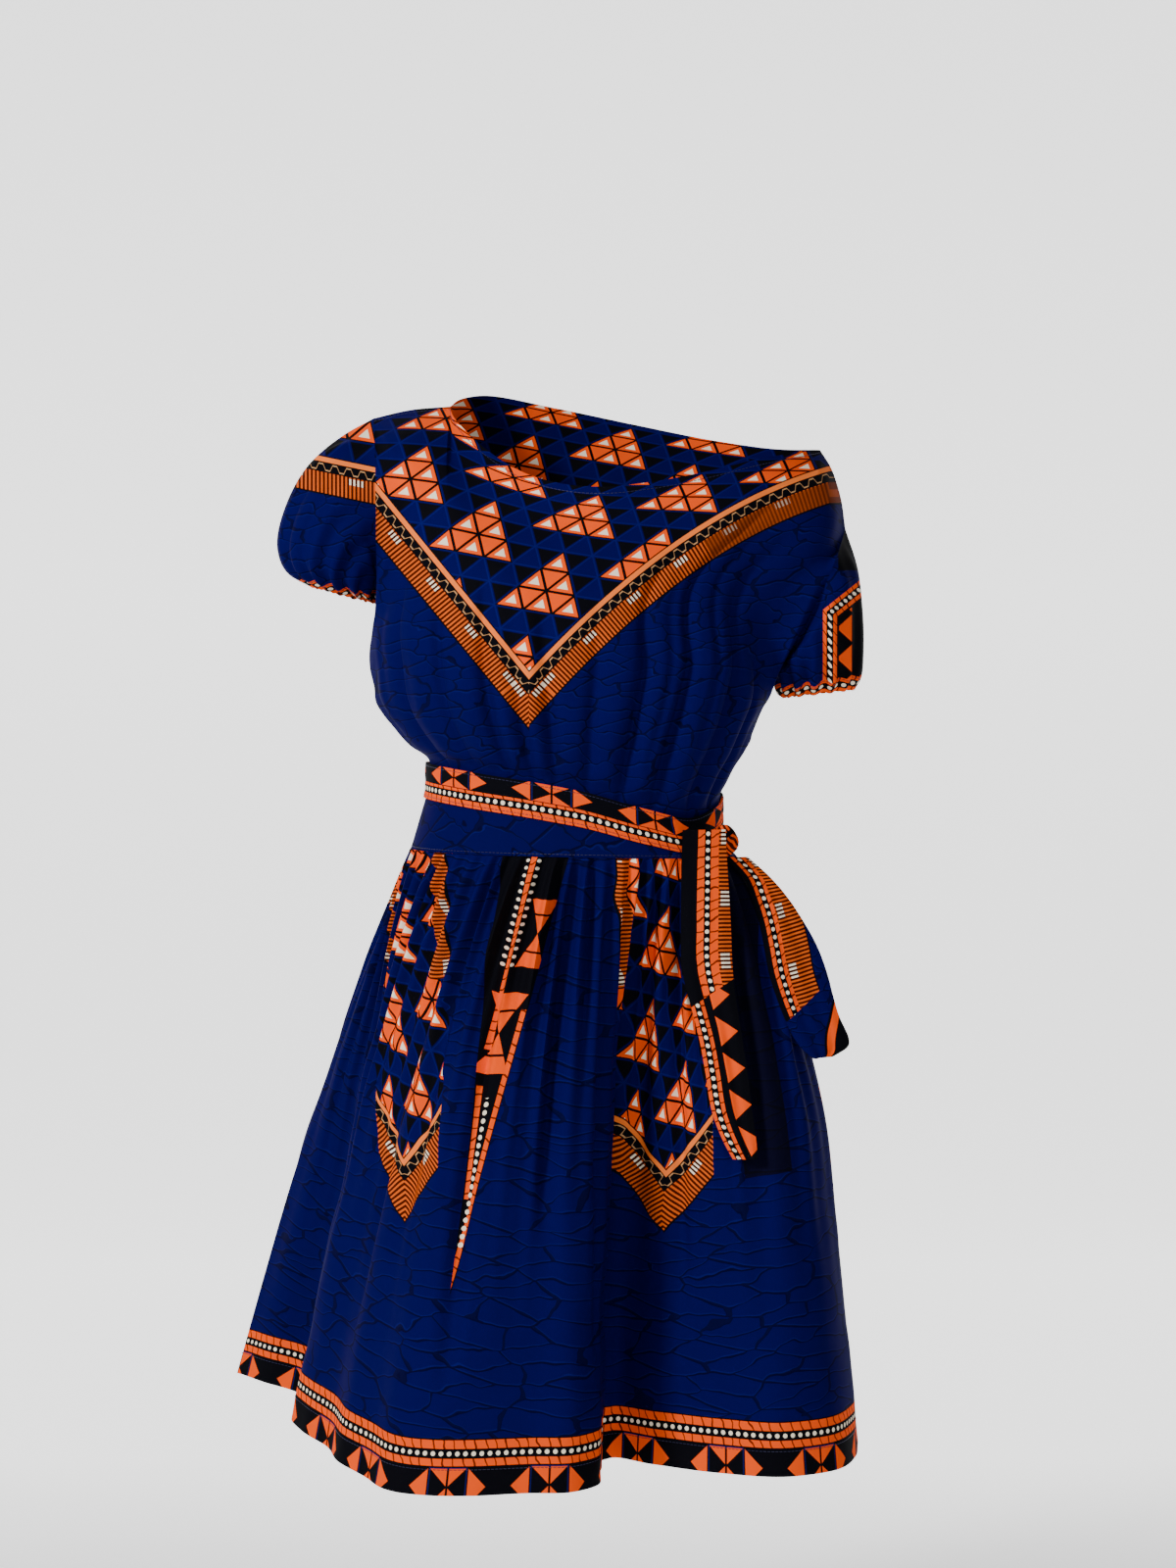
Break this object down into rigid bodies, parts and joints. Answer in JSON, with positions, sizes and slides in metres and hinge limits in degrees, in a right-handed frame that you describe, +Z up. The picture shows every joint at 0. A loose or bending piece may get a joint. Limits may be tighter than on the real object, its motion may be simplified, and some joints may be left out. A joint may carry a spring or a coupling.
{
  "type": "mini dress",
  "caption": "Short puff-sleeved cotton dress in its worn form: loose bodice slipped off one shoulder, tied at the waist with a sash, gathered skirt.",
  "frame": {"origin": "between the shoulders, at the height of the shoulder that the dress hangs from", "axes": "+Z up along the dress, -Y the front, +X the wearer's left"},
  "size_m": [0.561, 0.442, 0.9161],
  "materials": {
    "blue_wax_print": "matt printed cotton, royal blue with dark crackle and orange and black motifs",
    "waistband_blue": "matt printed cotton, darker blue with dark crackle",
    "border_print": "matt printed cotton, black with orange and white border rows"
  },
  "bodies": {
    "root": {"bodice_front": "blue_wax_print", "bodice_back": "blue_wax_print", "sleeve_right": "blue_wax_print", "sleeve_left": "blue_wax_print", "waistband": "waistband_blue", "skirt_front": "blue_wax_print", "skirt_back": "blue_wax_print", "sash_wrap": "border_print", "sash_knot": "border_print", "sash_tail_long": "border_print", "sash_tail_short": "border_print"}
  },
  "joints": []
}
